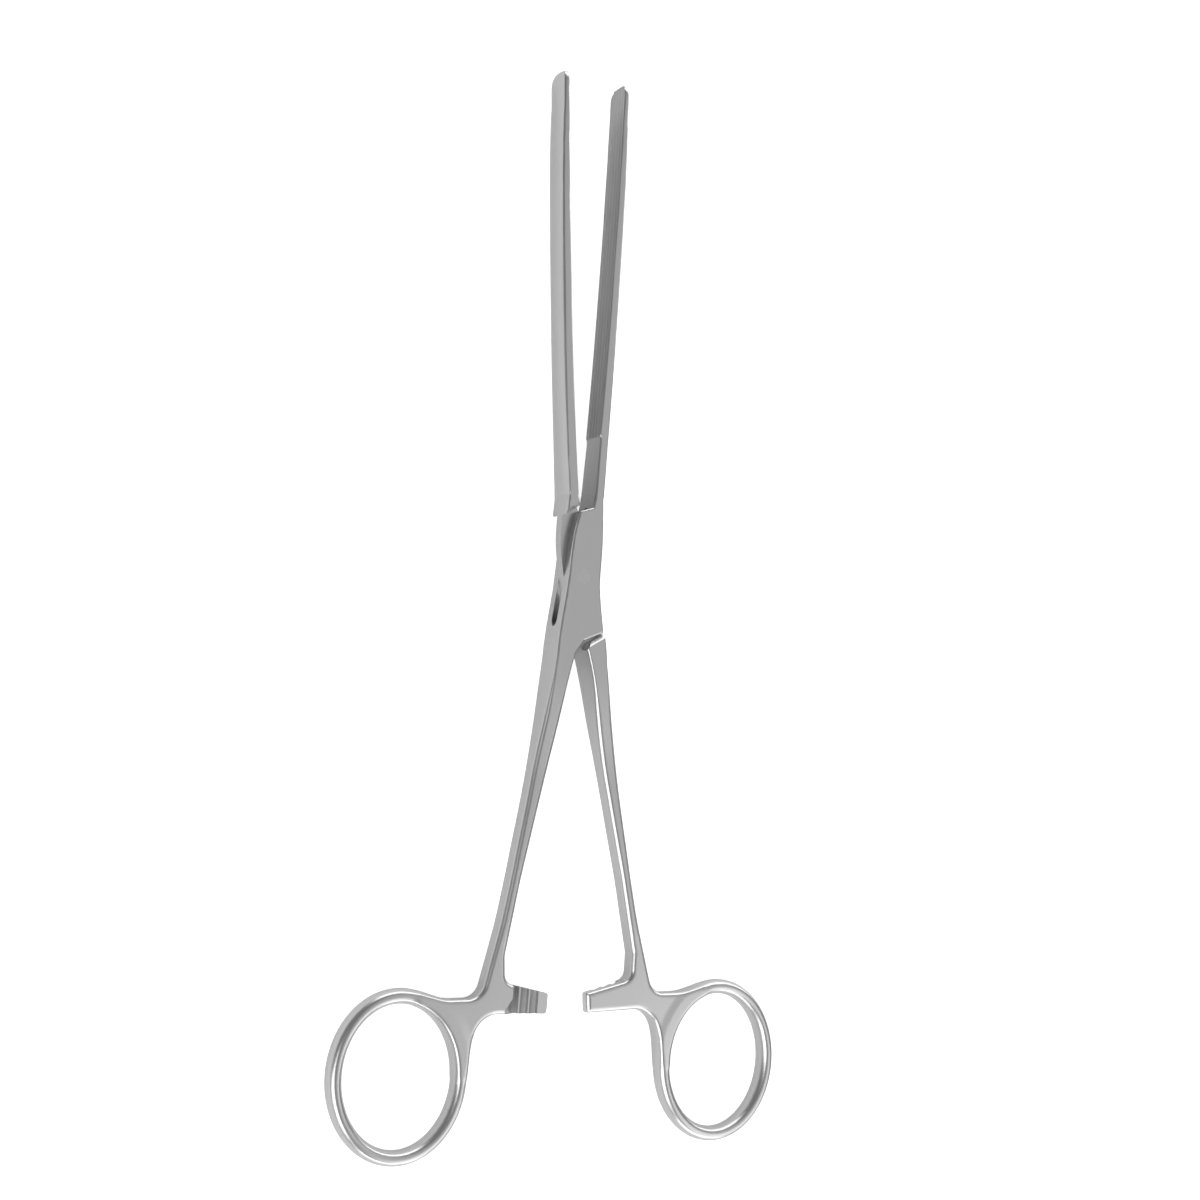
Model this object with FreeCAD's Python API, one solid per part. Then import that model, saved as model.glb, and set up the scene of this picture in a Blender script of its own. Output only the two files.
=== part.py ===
import FreeCAD, Part

import math
import os

from FreeCAD import Vector

# Straight occlusion forceps with a box lock, lying flat. X runs across, +Y towards the jaw tips, +Z up.
# The origin is on the pivot axis, at the underside of the box lock. Sizes are millimetres and degrees.
# Each arm is drawn with its jaw tips touching, and then turned about the pivot to its place at rest.

os.makedirs("parts", exist_ok=True)

# How far each arm is turned open at rest
REST_TURN = 3.57

# Box lock
BOX_THICKNESS = 7.0
TONGUE_THICKNESS = 2.2
TONGUE_CLEARANCE = 0.05
SLOT_REACH = 10.6
SLOT_ANGLE = 40.0
JAW_ROOT_Y = 18.0
CHEEK_TOP_OUTER = (-2.35, 13.9)
CHEEK_TOP_INNER = (0.75, 15.2)
CHEEK_FOOT_OUTER = (5.8, -11.2)
CHEEK_FOOT_INNER = (1.3, -13.5)
CHEEK_SIDE_LOWER = (-3.92, -2.3)
CHEEK_SIDE_UPPER = (-3.3, 9.0)
BOX_BACK_UPPER = (3.85, 7.8)
BOX_BACK_WAIST = (4.0, -0.9)
BOX_BACK_LOWER = (4.6, -5.2)
LOCK_EDGE = 0.2
CROTCH_X = 0.45
CROTCH_Y = 16.0
SHOULDER_CLEARANCE = 0.3
UPPER_SHOULDER_ANGLE = 130.0
LOWER_SHOULDER_ANGLE = -63.0
SHOULDER_BEVEL = 0.9

# Tongue walls, from the pivot towards the jaw and, turned half round, towards the shank
TONGUE_WAIST_X = 3.8
TONGUE_WIDE_X = 4.35
TONGUE_WIDE_Y = 8.0
TONGUE_NARROW_X = 3.2
TONGUE_NARROW_Y = 5.0

# Pivot pin, pressed into the cheeks and free in the tongue
PIN_RADIUS = 1.3
PIN_RUNNING_CLEARANCE = 0.04
PIN_HEAD_FLARE = 0.25
PIN_HEAD_DEPTH = 0.5

# Jaws: bowed inner faces that meet first at the tips, with lengthwise ridges
JAW_LENGTH = 111.2
JAW_HALF_WIDTH = 3.2
JAW_BOW = 0.58
JAW_ROOT_GAP = 0.84
JAW_TIP_GAP = 0.03
JAW_ROOT_THICKNESS = 2.9
JAW_MIDDLE_THICKNESS = 2.6
JAW_END_THICKNESS = 1.75
JAW_MIDDLE_Y = 45.0
JAW_TAPER_LENGTH = 36.0
JAW_NOSE_LENGTH = 3.2
JAW_NOSE_THICKNESS = 1.0
JAW_NOSE_WIDTH_SHARE = 0.3
JAW_TAPER_POWER = 1.5
STRIP_SHARE_AT_ROOT = 0.97
STRIP_SHARE_AT_TIP = 0.45
STRIP_NARROWS_OVER = 0.5
STRIP_NARROWING_POWER = 0.7
RIDGE_COUNT = 5
RIDGE_EDGE_FLAT = 0.2
RIDGE_DEPTH = 0.4
RIDGES_START_Y = 31.0
BASE_RELIEF = 0.35
JAW_SPARE = 1.2

# Shanks: the root as (x, distance below the pivot, width), and then stations down to the foot as (x, width),
# with their share of the way from root to foot
SHANK_THICKNESS = 4.3
SHANK_TAPER_LENGTH = 25.0
SHANK_SIDE_Y = 10.0
SHANK_SIDE_X = 4.65
SHANK_ROOT = (3.12, 19.0, 4.0)
SHANK_UPPER = (4.5, 3.8)
SHANK_UPPER_SHARE = 0.207
SHANK_MIDDLE = (6.8, 3.1)
SHANK_MIDDLE_SHARE = 0.5
SHANK_LOWER = (9.2, 2.55)
SHANK_LOWER_SHARE = 0.776
SHANK_FOOT = (11.3, 2.75)
SHANK_FOOT_ABOVE_RING = 9.8
HANDLE_EDGE_RADIUS = 1.05
JOIN_INSET = 0.03
JOIN_LENGTH = 0.6

# Finger rings
RING_X = 30.8
RING_Y = 103.9
RING_HOLE_HALF_WIDTH = 11.8
RING_HOLE_HALF_LENGTH = 14.0
RING_WALL = 3.1
RING_THICKNESS = 4.6
RING_TILT = -7.0
RING_END_SHARE = 0.9
NECK_BELOW_RING_TOP = 1.3
NECK_OUTER_RADIUS = 5.0
NECK_INNER_RADIUS = 5.0

# Ratchet bars
RATCHET_BAR_WIDTH = 4.5
RATCHET_BAR_ABOVE_RING = 0.2
RATCHET_OVERLAP = 1.4
RATCHET_SPLIT_GAP = 0.12
RATCHET_BAR_SLOPE = 8.0
RATCHET_ROOT_RADIUS = 1.6
TOOTH_PITCH = 2.26
TOOTH_DEPTH = 0.9
TOOTH_COUNT = 4
ROOT_CREST_X = 7.3
RAMP_END_X = 10.0
RAMP_SKEW = -0.45
RATCHET_CUT_SHARE = 0.55

# Values worked out from the above
MID_Z = BOX_THICKNESS / 2
TONGUE_LOW_Z = MID_Z - TONGUE_THICKNESS / 2
TONGUE_HIGH_Z = MID_Z + TONGUE_THICKNESS / 2
SHANK_LOW_Z = MID_Z - SHANK_THICKNESS / 2
SHANK_HIGH_Z = MID_Z + SHANK_THICKNESS / 2
SLOT_THICKNESS = TONGUE_THICKNESS + 2 * TONGUE_CLEARANCE
RING_TOP_Y = RING_Y - RING_HOLE_HALF_LENGTH - RING_WALL
SHANK_FOOT_Y = RING_TOP_Y - SHANK_FOOT_ABOVE_RING
NECK_TOP_Y = RING_TOP_Y + NECK_BELOW_RING_TOP
RATCHET_BAR_TOP_Y = RING_TOP_Y - RATCHET_BAR_ABOVE_RING
WHOLE = 400.0
SAME_PLACE = 0.01


def rounded(curve_points):
    """Return one smooth edge through points given as (x, y)."""
    curve = Part.BSplineCurve()
    curve.interpolate([Vector(x, y, 0) for x, y in curve_points])
    return curve.toShape()


def straight(start, end):
    """Return one straight edge between two (x, y) points."""
    return Part.makeLine(Vector(*start, 0), Vector(*end, 0))


def plate(edges, low_z=0.0, high_z=BOX_THICKNESS):
    """Return the solid above the closed outline, from low_z to high_z."""
    wire = Part.Wire(Part.__sortEdges__(edges))
    face = Part.Face(wire)
    face.translate(Vector(0, 0, low_z))
    return face.extrude(Vector(0, 0, high_z - low_z))


def flat_block(corners, low_z, high_z):
    """Return a straight-sided block over (x, y) corners."""
    points = [Vector(x, y, low_z) for x, y in corners]
    face = Part.Face(Part.makePolygon(points + points[:1]))
    return face.extrude(Vector(0, 0, high_z - low_z))


def mirrored(shape):
    """Return the shape mirrored left to right."""
    return shape.mirror(Vector(0, 0, 0), Vector(1, 0, 0))


def turned(shape, degrees):
    """Return the shape turned about the pivot axis."""
    copy = shape.copy()
    copy.rotate(Vector(0, 0, 0), Vector(0, 0, 1), degrees)
    return copy


def half_space(angle, distance, low_z, high_z):
    """Return the block beyond a plane whose normal points along angle, at distance from the pivot."""
    block = Part.makeBox(WHOLE, WHOLE, high_z - low_z, Vector(distance, -WHOLE / 2, low_z))
    return turned(block, angle)


def distance_along(point, angle):
    """Return how far a point lies from the pivot, measured along angle."""
    return point[0] * math.cos(math.radians(angle)) + point[1] * math.sin(math.radians(angle))


# The jaw's inner face is an arc in plan, from the root to the tip
CHORD_X = JAW_TIP_GAP - JAW_ROOT_GAP
CHORD_Y = JAW_LENGTH - JAW_ROOT_Y
CHORD = math.hypot(CHORD_X, CHORD_Y)
BOW_RADIUS = (CHORD ** 2 / 4 + JAW_BOW ** 2) / (2 * JAW_BOW)
BOW_X = (JAW_TIP_GAP + JAW_ROOT_GAP) / 2 - (BOW_RADIUS - JAW_BOW) * CHORD_Y / CHORD
BOW_Y = (JAW_LENGTH + JAW_ROOT_Y) / 2 + (BOW_RADIUS - JAW_BOW) * CHORD_X / CHORD


def inner_x(y):
    """Return the place of the jaw's inner face at y."""
    return BOW_X + math.sqrt(BOW_RADIUS ** 2 - (y - BOW_Y) ** 2)


def between(start, end, share):
    """Return the value at a share of the way, eased at both ends."""
    share = min(max(share, 0.0), 1.0)
    return start + (end - start) * share * share * (3 - 2 * share)


def jaw_thickness(y):
    """Return the jaw's thickness in plan at y, before its nose is rounded."""
    if y < JAW_MIDDLE_Y:
        share = (y - JAW_ROOT_Y) / (JAW_MIDDLE_Y - JAW_ROOT_Y)
        return between(JAW_ROOT_THICKNESS, JAW_MIDDLE_THICKNESS, share)
    share = max(0.0, (y - (JAW_LENGTH - JAW_TAPER_LENGTH)) / JAW_TAPER_LENGTH)
    return JAW_MIDDLE_THICKNESS + (JAW_END_THICKNESS - JAW_MIDDLE_THICKNESS) * share ** JAW_TAPER_POWER


def jaw_section(y, relief):
    """Return the closed D-shaped section at y: flat inner face, two edge strips and a crowned back."""
    into_nose = max(0.0, (y - (JAW_LENGTH - JAW_NOSE_LENGTH)) / JAW_NOSE_LENGTH)
    swell = math.sqrt(max(0.0, 1 - into_nose ** 2))
    root_share = (y - JAW_ROOT_Y) / (RIDGES_START_Y - JAW_ROOT_Y)
    width = between(MID_Z, JAW_HALF_WIDTH, root_share)
    width *= JAW_NOSE_WIDTH_SHARE + (1 - JAW_NOSE_WIDTH_SHARE) * swell
    thickness = jaw_thickness(y)
    thickness = JAW_NOSE_THICKNESS + (thickness - JAW_NOSE_THICKNESS) * swell
    along = min(1.0, (y - JAW_ROOT_Y) / (JAW_LENGTH - JAW_ROOT_Y) / STRIP_NARROWS_OVER)
    narrowed = (STRIP_SHARE_AT_TIP - STRIP_SHARE_AT_ROOT) * along ** STRIP_NARROWING_POWER
    share = STRIP_SHARE_AT_ROOT + narrowed
    face_x = inner_x(y) - relief
    back_x = inner_x(y) + thickness
    strip_x = inner_x(y) + thickness * share
    low, high = MID_Z - width, MID_Z + width
    inner_low = Vector(face_x, y, low)
    inner_high = Vector(face_x, y, high)
    strip_high = Vector(strip_x, y, high)
    strip_low = Vector(strip_x, y, low)
    back = Part.Arc(strip_high, Vector(back_x, y, MID_Z), strip_low).toShape()
    return Part.Wire([
        Part.makeLine(inner_low, inner_high),
        Part.makeLine(inner_high, strip_high),
        back,
        Part.makeLine(strip_low, inner_low),
    ])


def swept_about_bow(profile, start_y, end_y):
    """Return a solid swept along the jaw's arc, from its section given as (depth, z) points."""
    points = [Vector(BOW_X + BOW_RADIUS + depth, BOW_Y, z) for depth, z in profile]
    face = Part.Face(Part.makePolygon(points + points[:1]))
    centre = Vector(BOW_X, BOW_Y, 0)
    up = Vector(0, 0, 1)
    start = math.degrees(math.asin((start_y - BOW_Y) / BOW_RADIUS))
    end = math.degrees(math.asin((end_y - BOW_Y) / BOW_RADIUS))
    face.rotate(centre, up, start)
    return face.revolve(centre, up, end - start)


def make_jaw():
    """Return the right-hand jaw: a lofted D-shaped bar, its inner face cut with lengthwise ridges."""
    stations = [JAW_ROOT_Y, (JAW_ROOT_Y + RIDGES_START_Y) / 2, RIDGES_START_Y, JAW_MIDDLE_Y]
    taper_start = JAW_LENGTH - JAW_TAPER_LENGTH
    nose_start = JAW_LENGTH - JAW_NOSE_LENGTH
    stations += [(JAW_MIDDLE_Y + taper_start) / 2, taper_start, (taper_start + nose_start) / 2, nose_start]
    bar = Part.makeLoft([jaw_section(y, JAW_SPARE) for y in stations], True)
    nose_steps = [nose_start + JAW_NOSE_LENGTH * share for share in (0.0, 0.35, 0.65, 0.87, 1.0)]
    nose = Part.makeLoft([jaw_section(y, JAW_SPARE) for y in nose_steps], True)
    jaw = bar.fuse(nose)

    first = MID_Z - JAW_HALF_WIDTH + RIDGE_EDGE_FLAT
    pitch = 2 * (JAW_HALF_WIDTH - RIDGE_EDGE_FLAT) / RIDGE_COUNT
    below, above = -JAW_SPARE, BOX_THICKNESS + JAW_SPARE
    comb = [(-2 * JAW_SPARE, below), (0.0, below), (0.0, first)]
    for index in range(RIDGE_COUNT):
        comb.append((RIDGE_DEPTH, first + (index + 0.5) * pitch))
        comb.append((0.0, first + (index + 1) * pitch))
    comb += [(0.0, above), (-2 * JAW_SPARE, above)]
    ridges = swept_about_bow(comb, RIDGES_START_Y, JAW_LENGTH + JAW_SPARE)

    smooth = [(-2 * JAW_SPARE, below), (BASE_RELIEF, below), (BASE_RELIEF, above), (-2 * JAW_SPARE, above)]
    base = swept_about_bow(smooth, JAW_ROOT_Y - JAW_SPARE, RIDGES_START_Y)
    return jaw.cut(ridges).cut(base)


def oval_arcs():
    """Return the four arcs of the oval along the ring's bar.

    Each is (centre x, centre y, radius, middle, half span), drawn about the ring's centre with its longer way
    along Y, and the angles in degrees.
    """
    half_width = RING_HOLE_HALF_WIDTH + RING_WALL / 2
    half_length = RING_HOLE_HALF_LENGTH + RING_WALL / 2
    end_radius = RING_END_SHARE * half_width
    end_y = half_length - end_radius
    side_radius = (end_y ** 2 + half_width ** 2 - end_radius ** 2) / (2 * (half_width - end_radius))
    side_x = side_radius - half_width
    end_span = math.degrees(math.atan2(side_x, end_y))
    return [
        (0.0, end_y, end_radius, 90.0, end_span),
        (side_x, 0.0, side_radius, 180.0, 90.0 - end_span),
        (0.0, -end_y, end_radius, 270.0, end_span),
        (-side_x, 0.0, side_radius, 0.0, 90.0 - end_span),
    ]


def put_at_ring(shape):
    """Move a shape drawn about the origin to the ring's place."""
    shape.rotate(Vector(0, 0, 0), Vector(0, 0, 1), RING_TILT)
    shape.translate(Vector(RING_X, -RING_Y, MID_Z))
    return shape


def ring_core():
    """Return the block inside the middle line of the ring's bar."""
    up = Vector(0, 0, 1)
    edges = [Part.makeCircle(radius, Vector(x, y, -BOX_THICKNESS), up, middle - half, middle + half)
             for x, y, radius, middle, half in oval_arcs()]
    return put_at_ring(Part.Face(Part.Wire(edges)).extrude(Vector(0, 0, 2 * BOX_THICKNESS)))


def make_ring():
    """Return the right-hand finger ring: a bar of oval section bent along four arcs."""
    up = Vector(0, 0, 1)
    bends = []
    for x, y, radius, middle, half in oval_arcs():
        centre = Vector(radius, 0, 0)
        high, wide = up * (RING_THICKNESS / 2), Vector(RING_WALL / 2, 0, 0)
        section = Part.Ellipse(centre + high, centre + wide, centre)
        face = Part.Face(Part.Wire(section.toShape()))
        face.rotate(Vector(0, 0, 0), up, middle - half)
        bend = face.revolve(Vector(0, 0, 0), up, 2 * half)
        bend.translate(Vector(x, y, 0))
        bends.append(bend)
    return put_at_ring(bends[0].fuse(bends[1:]))


def upright_edges_at(plate_shape, point):
    """Return the straight upright edges of a plate at an (x, y) corner of it."""
    return [edge for edge in plate_shape.Edges
            if all(math.hypot(v.X - point[0], v.Y - point[1]) < SAME_PLACE for v in edge.Vertexes)]


def shank_stations():
    """Return the right-hand shank's stations from root to foot, as (x, distance below the pivot, width)."""
    root_y = SHANK_ROOT[1]
    below_root = ((SHANK_UPPER, SHANK_UPPER_SHARE), (SHANK_MIDDLE, SHANK_MIDDLE_SHARE),
                  (SHANK_LOWER, SHANK_LOWER_SHARE), (SHANK_FOOT, 1.0))
    length = SHANK_FOOT_Y - root_y
    return [SHANK_ROOT] + [(x, root_y + length * share, width) for (x, width), share in below_root]


def shank_wall(side):
    """Return the (x, y) points of one wall of the right-hand shank: side is 1 outside and -1 inside."""
    return [(x + side * width / 2, -y) for x, y, width in shank_stations()]


def wall_carried_on(side, y):
    """Return the x of a shank wall carried on in a straight line past the foot, down to y."""
    walls = shank_wall(side)
    (x_above, y_above), (x_foot, y_foot) = walls[-2], walls[-1]
    return x_foot + (x_foot - x_above) * (y - y_foot) / (y_foot - y_above)


def handle_end():
    """Return the ratchet bar and neck as one plate, rounded, and joined to the finger ring."""
    bar_top = -RATCHET_BAR_TOP_Y
    bar_bottom = bar_top - RATCHET_BAR_WIDTH
    inner_x_at_bar = wall_carried_on(-1, bar_top)
    rise = math.tan(math.radians(RATCHET_BAR_SLOPE)) * (inner_x_at_bar + RATCHET_OVERLAP)
    neck_x = wall_carried_on(1, -NECK_TOP_Y)
    ring_side_x = RING_X - RING_HOLE_HALF_WIDTH - RING_WALL
    web_x = ring_side_x - RING_WALL / 3
    corners = [
        shank_wall(-1)[-1],
        (inner_x_at_bar, bar_top + rise),
        (-RATCHET_OVERLAP, bar_top),
        (-RATCHET_OVERLAP, bar_bottom),
        (web_x, bar_bottom),
        (ring_side_x + RING_WALL / 2, -RING_Y),
        (RING_X, -RING_Y),
        (RING_X, -RING_Y + RING_HOLE_HALF_LENGTH + RING_WALL / 2),
        (neck_x, -NECK_TOP_Y),
        shank_wall(1)[-1],
    ]
    end = flat_block(corners, SHANK_LOW_Z, SHANK_HIGH_Z)
    for corner, radius in ((corners[1], RATCHET_ROOT_RADIUS), (corners[4], NECK_INNER_RADIUS),
                           (corners[8], NECK_OUTER_RADIUS)):
        end = end.makeFillet(radius, upright_edges_at(end, corner))
    ring_centre = corners[6]
    rim = [edge for edge in rim_edges(end)
           if edge.CenterOfMass.y < -SHANK_FOOT_Y - SAME_PLACE and not touches(edge, ring_centre)]
    end = end.makeFillet(HANDLE_EDGE_RADIUS, rim)
    return end.cut(ring_core()).fuse(make_ring())


def touches(edge, point):
    """Say whether an edge has an end above or below an (x, y) point."""
    return any(math.hypot(v.X - point[0], v.Y - point[1]) < SAME_PLACE for v in edge.Vertexes)


def shank_section(station, corner_radius):
    """Return the rounded oblong section of the shank at one station."""
    x, y, width = station
    width -= 2 * JOIN_INSET
    share = (y - SHANK_ROOT[1]) / SHANK_TAPER_LENGTH
    height = between(BOX_THICKNESS, SHANK_THICKNESS, share) - 2 * JOIN_INSET
    left, right = x - width / 2, x + width / 2
    low, high = MID_Z - height / 2, MID_Z + height / 2
    inset = corner_radius * (1 - math.sqrt(0.5))
    corners = ((right, high, -1, -1), (left, high, 1, -1), (left, low, 1, 1), (right, low, -1, 1))
    edges = []
    last = None
    for index, (corner_x, corner_z, dx, dz) in enumerate(corners):
        along_x = Vector(corner_x + dx * corner_radius, -y, corner_z)
        along_z = Vector(corner_x, -y, corner_z + dz * corner_radius)
        middle = Vector(corner_x + dx * inset, -y, corner_z + dz * inset)
        start, end = (along_z, along_x) if index % 2 == 0 else (along_x, along_z)
        if last is not None:
            edges.append(Part.makeLine(last, start))
        edges.append(Part.Arc(start, middle, end).toShape())
        last = end
    edges.append(Part.makeLine(last, edges[0].Vertexes[0].Point))
    return Part.Wire(edges)


def make_shank():
    """Return the right-hand shank, lofted through its stations, its ends sunk in the lock and the neck."""
    root, upper, middle, lower, foot = shank_stations()
    stations = [carried_on(upper, root), root, halfway(root, upper), upper]
    stations += [halfway(upper, middle), middle, lower, foot, carried_on(lower, foot)]
    full_y = upper[1]
    sections = []
    for station in stations:
        share = (station[1] - SHANK_ROOT[1]) / (full_y - SHANK_ROOT[1])
        sections.append(shank_section(station, between(LOCK_EDGE, HANDLE_EDGE_RADIUS, share)))
    return Part.makeLoft(sections, True)


def carried_on(before, last):
    """Return the station a join's length past the last one, in line with the one before."""
    share = JOIN_LENGTH / abs(last[1] - before[1])
    x, y, width = (b + (b - a) * share for a, b in zip(before, last))
    return x, y, min(width, last[2])


def halfway(start, end):
    """Return the point halfway between two stations."""
    return tuple((a + b) / 2 for a, b in zip(start, end))


def lies_flat(face, point):
    """Say whether a face looks up or down at a point on it."""
    u, v = face.Surface.parameter(point)
    return abs(face.normalAt(u, v).z) > 0.7


def rim_edges(shape):
    """Return the edges between upright walls and flat sides."""
    found = []
    for edge in shape.Edges:
        middle = edge.valueAt((edge.FirstParameter + edge.LastParameter) / 2)
        flat = [lies_flat(face, middle) for face in shape.ancestorsOfType(edge, Part.Face)]
        if len(flat) == 2 and flat[0] != flat[1]:
            found.append(edge)
    return found


def lock_blank(upper_edges):
    """Return the full-thickness blank of one arm's lock, handle to the right.

    upper_edges close the outline above the shank's root.
    """
    root_inner, root_outer = shank_wall(-1)[0], shank_wall(1)[0]
    blank = plate(upper_edges([(SHANK_SIDE_X, -SHANK_SIDE_Y), root_outer]) + [
        straight((CROTCH_X, -CROTCH_Y), root_inner),
        straight(root_inner, root_outer),
    ])
    long_rim = [edge for edge in rim_edges(blank) if isinstance(edge.Curve, Part.BSplineCurve)]
    return blank.makeChamfer(LOCK_EDGE, long_rim)


def jaw_root_corners():
    """Return the inner and outer corner of the lock where the jaw starts, drawn with the jaw to the left."""
    inner = -inner_x(JAW_ROOT_Y)
    outer = inner - JAW_ROOT_THICKNESS * STRIP_SHARE_AT_ROOT - JOIN_INSET
    return (inner - BASE_RELIEF + JOIN_INSET, JAW_ROOT_Y), (outer, JAW_ROOT_Y)


def box_outline(outer):
    """Return the upper edges of the box arm's outline, drawn with its handle to the right."""
    root_inner, root_outer = jaw_root_corners()
    flip = [(-x, y) for x, y in (CHEEK_TOP_OUTER, CHEEK_TOP_INNER, CHEEK_FOOT_OUTER, CHEEK_FOOT_INNER)]
    top_outer, top_inner, foot_outer, foot_inner = flip
    side = [(-x, y) for x, y in (CHEEK_SIDE_UPPER, CHEEK_SIDE_LOWER)]
    back = [(-x, y) for x, y in (BOX_BACK_UPPER, BOX_BACK_WAIST, BOX_BACK_LOWER)]
    return [
        rounded([top_outer] + side + outer),
        straight(top_outer, top_inner),
        straight(top_inner, root_inner),
        straight(root_inner, root_outer),
        rounded([root_outer] + back + [foot_outer]),
        straight(foot_outer, foot_inner),
        straight(foot_inner, (CROTCH_X, -CROTCH_Y)),
    ]


def tongue_outline(outer):
    """Return the upper edges of the tongue arm's outline, drawn with its handle to the right."""
    root_inner, root_outer = jaw_root_corners()
    narrow = (TONGUE_NARROW_X, TONGUE_NARROW_Y)
    waist = (TONGUE_WAIST_X, 0.0)
    wide = (TONGUE_WIDE_X, -TONGUE_WIDE_Y)
    turned_half = [(-x, -y) for x, y in (narrow, waist, wide)]
    return [
        rounded([narrow, waist, wide] + outer[1:]),
        straight(narrow, (-CROTCH_X, CROTCH_Y)),
        straight((-CROTCH_X, CROTCH_Y), root_inner),
        straight(root_inner, root_outer),
        rounded(turned_half + [root_outer]),
        straight(turned_half[0], (CROTCH_X, -CROTCH_Y)),
    ]


def slot_cutter():
    """Return the round-ended channel through the box, drawn with the box arm's handle to the left."""
    radius = SLOT_THICKNESS / 2
    straight_half = SLOT_REACH - radius
    block = Part.makeBox(2 * straight_half, WHOLE, SLOT_THICKNESS,
                         Vector(-straight_half, -WHOLE / 2, MID_Z - radius))
    ends = [Part.makeCylinder(radius, WHOLE, Vector(side * straight_half, -WHOLE / 2, MID_Z), Vector(0, 1, 0))
            for side in (-1, 1)]
    return turned(block.fuse(ends), SLOT_ANGLE)


def shoulder_distances():
    """Return how far the tongue arm's upper and lower shoulders stand from the pivot."""
    upper = max(distance_along(point, UPPER_SHOULDER_ANGLE) for point in (CHEEK_TOP_OUTER, CHEEK_TOP_INNER))
    lower = math.hypot(*CHEEK_FOOT_OUTER)
    return upper + SHOULDER_CLEARANCE, lower + SHOULDER_CLEARANCE


def beside_cheek_foot(low_z, high_z):
    """Return the block on the tongue arm's side of the line from the cheeks' foot to the crotch."""
    across = CHEEK_FOOT_INNER[0] + CROTCH_X
    along = CROTCH_Y + CHEEK_FOOT_INNER[1]
    angle = -math.degrees(math.atan2(across, along))
    return half_space(angle, distance_along(CHEEK_FOOT_INNER, angle) + SHOULDER_CLEARANCE, low_z, high_z)


def tongue_cutters():
    """Return the two blocks that leave the thin tongue between the shoulders, with bevelled ends."""
    upper, lower = shoulder_distances()
    cutters = []
    for low, high, outward in ((TONGUE_HIGH_Z, BOX_THICKNESS, 1), (0.0, TONGUE_LOW_Z, -1)):
        block = Part.makeBox(4 * SLOT_REACH, 4 * SLOT_REACH, high - low,
                             Vector(-2 * SLOT_REACH, -2 * SLOT_REACH, low))
        foot = half_space(LOWER_SHOULDER_ANGLE, lower, low, high).common(beside_cheek_foot(low, high))
        block = block.cut([half_space(UPPER_SHOULDER_ANGLE, upper, low, high), foot])
        for angle, distance in ((UPPER_SHOULDER_ANGLE, upper), (LOWER_SHOULDER_ANGLE, lower)):
            block = block.fuse(bevel_wedge(angle, distance, outward))
        cutters.append(block)
    return cutters


def bevel_wedge(angle, distance, outward):
    """Return the wedge that bevels one shoulder's rim, on the upper (1) or lower (-1) side."""
    rim_z = MID_Z + outward * MID_Z
    corners = [Vector(distance - SHOULDER_BEVEL, -SLOT_REACH, rim_z),
               Vector(distance + SHOULDER_BEVEL, -SLOT_REACH, rim_z),
               Vector(distance - SHOULDER_BEVEL, -SLOT_REACH, rim_z - outward * 2 * SHOULDER_BEVEL)]
    face = Part.Face(Part.makePolygon(corners + corners[:1]))
    return turned(face.extrude(Vector(0, 2 * SLOT_REACH, 0)), angle)


def ratchet_profile(y):
    """Return the closed line, at y, round what is cut below the right-hand bar's teeth and root ramp."""
    crest_z = MID_Z + RATCHET_SPLIT_GAP / 2
    valley_z = crest_z + TOOTH_DEPTH
    bar_middle = -(RATCHET_BAR_TOP_Y + RATCHET_BAR_WIDTH / 2)
    ramp_x = RAMP_END_X + RAMP_SKEW * (y - bar_middle)
    slope = (ramp_x - ROOT_CREST_X) / (valley_z - SHANK_LOW_Z)
    corners = [(-2 * RATCHET_OVERLAP, 0.0), (-2 * RATCHET_OVERLAP, crest_z)]
    for index in reversed(range(TOOTH_COUNT)):
        crest_x = ROOT_CREST_X - index * TOOTH_PITCH
        corners += [(crest_x, crest_z), (crest_x, valley_z)]
    corners.append((ROOT_CREST_X + slope * valley_z, 0.0))
    points = [Vector(x, y, z) for x, z in corners]
    return Part.makePolygon(points + points[:1])


def ratchet_cut():
    """Return what is cut from the right-hand bar to leave its upper half, with teeth on its underside."""
    above_bar = -RATCHET_BAR_TOP_Y + RATCHET_BAR_WIDTH * RATCHET_CUT_SHARE
    below_bar = -RATCHET_BAR_TOP_Y - 2 * RATCHET_BAR_WIDTH
    return Part.makeLoft([ratchet_profile(below_bar), ratchet_profile(above_bar)], True, True)


def upside_down(shape):
    """Return the shape mirrored top to bottom through the middle plane."""
    return shape.mirror(Vector(0, 0, MID_Z), Vector(0, 0, 1))


def make_pin():
    """Return the pivot rivet, dressed flush with both cheeks."""
    shaft = Part.makeCylinder(PIN_RADIUS, BOX_THICKNESS)
    foot = Part.makeCone(PIN_RADIUS + PIN_HEAD_FLARE, PIN_RADIUS, PIN_HEAD_DEPTH)
    return shaft.fuse([foot, upside_down(foot)]).removeSplitter()


def make_arm(outline, ratchet):
    """Return one arm before its lock is cut: jaw to the left, shank, bar and ring to the right."""
    lock = lock_blank(outline)
    whole = lock.fuse([mirrored(make_jaw()), make_shank(), handle_end()])
    return whole.cut(ratchet).removeSplitter()


def make_box_arm(pin):
    """Return the arm with the slotted box, at rest."""
    arm = mirrored(make_arm(box_outline, upside_down(ratchet_cut())))
    arm = arm.cut([slot_cutter(), pin])
    return turned(arm, -REST_TURN)


def make_tongue_arm():
    """Return the arm with the tongue, at rest."""
    hole = Part.makeCylinder(PIN_RADIUS + PIN_RUNNING_CLEARANCE, BOX_THICKNESS)
    arm = make_arm(tongue_outline, ratchet_cut()).cut(tongue_cutters() + [hole])
    return turned(arm, REST_TURN)


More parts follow.
